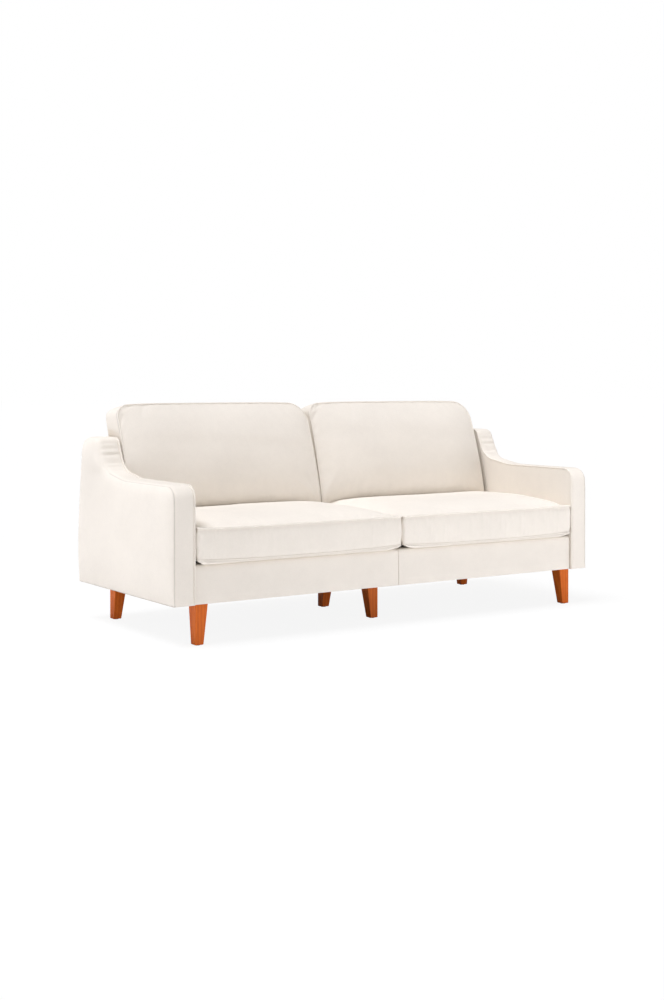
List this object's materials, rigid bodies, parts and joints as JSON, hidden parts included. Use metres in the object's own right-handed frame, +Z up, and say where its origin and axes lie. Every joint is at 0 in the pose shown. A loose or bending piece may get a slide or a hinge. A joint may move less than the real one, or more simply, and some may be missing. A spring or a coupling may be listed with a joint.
{
  "type": "sofa",
  "caption": "Low upholstered sofa with scooped arms, loose boxed seat and back cushions, and tapered wooden legs.",
  "frame": {"origin": "on the floor, under the middle of the overall width and depth", "axes": "+X along the width, to the right seen from the front; -Y is the front, +Z up"},
  "size_m": [2.03, 0.876, 0.88],
  "materials": {
    "stained_wood": "cherry-stained satin timber",
    "body_fabric": "ivory plain-weave upholstery cloth over thin padding",
    "cushion_fabric": "ivory plain-weave upholstery cloth over wadding",
    "seat_foam": "cut polyurethane foam",
    "cushion_fibre": "blown polyester fibre in a lining",
    "frame_timber": "planed pine",
    "plywood": "birch plywood",
    "spring_steel": "oiled spring wire and clips",
    "zinc_steel": "zinc-plated fasteners",
    "glide_plastic": "moulded polyethylene",
    "felt": "needled felt",
    "dust_cloth": "black non-woven cloth",
    "webbing": "elastic webbing"
  },
  "bodies": {
    "sofa_body": {"arm_bolts": "zinc_steel", "arm_left_cover": "body_fabric", "arm_left_inner_board": "plywood", "arm_left_outer_board": "plywood", "arm_left_posts": "frame_timber", "arm_left_rails": "frame_timber", "arm_right_cover": "body_fabric", "arm_right_inner_board": "plywood", "arm_right_outer_board": "plywood", "arm_right_posts": "frame_timber", "arm_right_rails": "frame_timber", "back_bolts": "zinc_steel", "back_bottom_rail": "frame_timber", "back_cover": "body_fabric", "back_ribs": "plywood", "back_top_rail": "frame_timber", "back_webbing": "webbing", "centre_joist_left": "frame_timber", "centre_joist_right": "frame_timber", "corner_blocks": "frame_timber", "dust_cover": "dust_cloth", "front_rail_cover_left": "body_fabric", "front_rail_cover_right": "body_fabric", "joist_bolts": "zinc_steel", "leg_front_left": "stained_wood", "leg_front_right": "stained_wood", "leg_glides": "glide_plastic", "leg_hanger_bolts": "zinc_steel", "leg_middle_front": "stained_wood", "leg_middle_rear": "stained_wood", "leg_rear_left": "stained_wood", "leg_rear_right": "stained_wood", "leg_tee_nuts": "zinc_steel", "seat_deck": "felt", "seat_front_rail": "frame_timber", "seat_rear_rail": "frame_timber", "seat_side_rail_left": "frame_timber", "seat_side_rail_right": "frame_timber", "seat_springs_left": "spring_steel", "seat_springs_right": "spring_steel", "spring_clips": "spring_steel"},
    "seat_cushion_left": {"seat_cushion_cover_left": "cushion_fabric", "seat_cushion_core_left": "seat_foam"},
    "seat_cushion_right": {"seat_cushion_cover_right": "cushion_fabric", "seat_cushion_core_right": "seat_foam"},
    "back_cushion_left": {"back_cushion_cover_left": "cushion_fabric", "back_cushion_core_left": "cushion_fibre"},
    "back_cushion_right": {"back_cushion_cover_right": "cushion_fabric", "back_cushion_core_right": "cushion_fibre"}
  },
  "joints": [
    {"name": "seat_cushion_left_slide", "type": "slide", "parent": "sofa_body", "child": "seat_cushion_left", "axis": [0, -1, 0], "range_m": [0, 0.4]},
    {"name": "seat_cushion_right_slide", "type": "slide", "parent": "sofa_body", "child": "seat_cushion_right", "axis": [0, -1, 0], "range_m": [0, 0.4]},
    {"name": "back_cushion_left_lift", "type": "slide", "parent": "sofa_body", "child": "back_cushion_left", "axis": [0, 0, 1], "range_m": [0, 0.3]},
    {"name": "back_cushion_right_lift", "type": "slide", "parent": "sofa_body", "child": "back_cushion_right", "axis": [0, 0, 1], "range_m": [0, 0.3]}
  ]
}
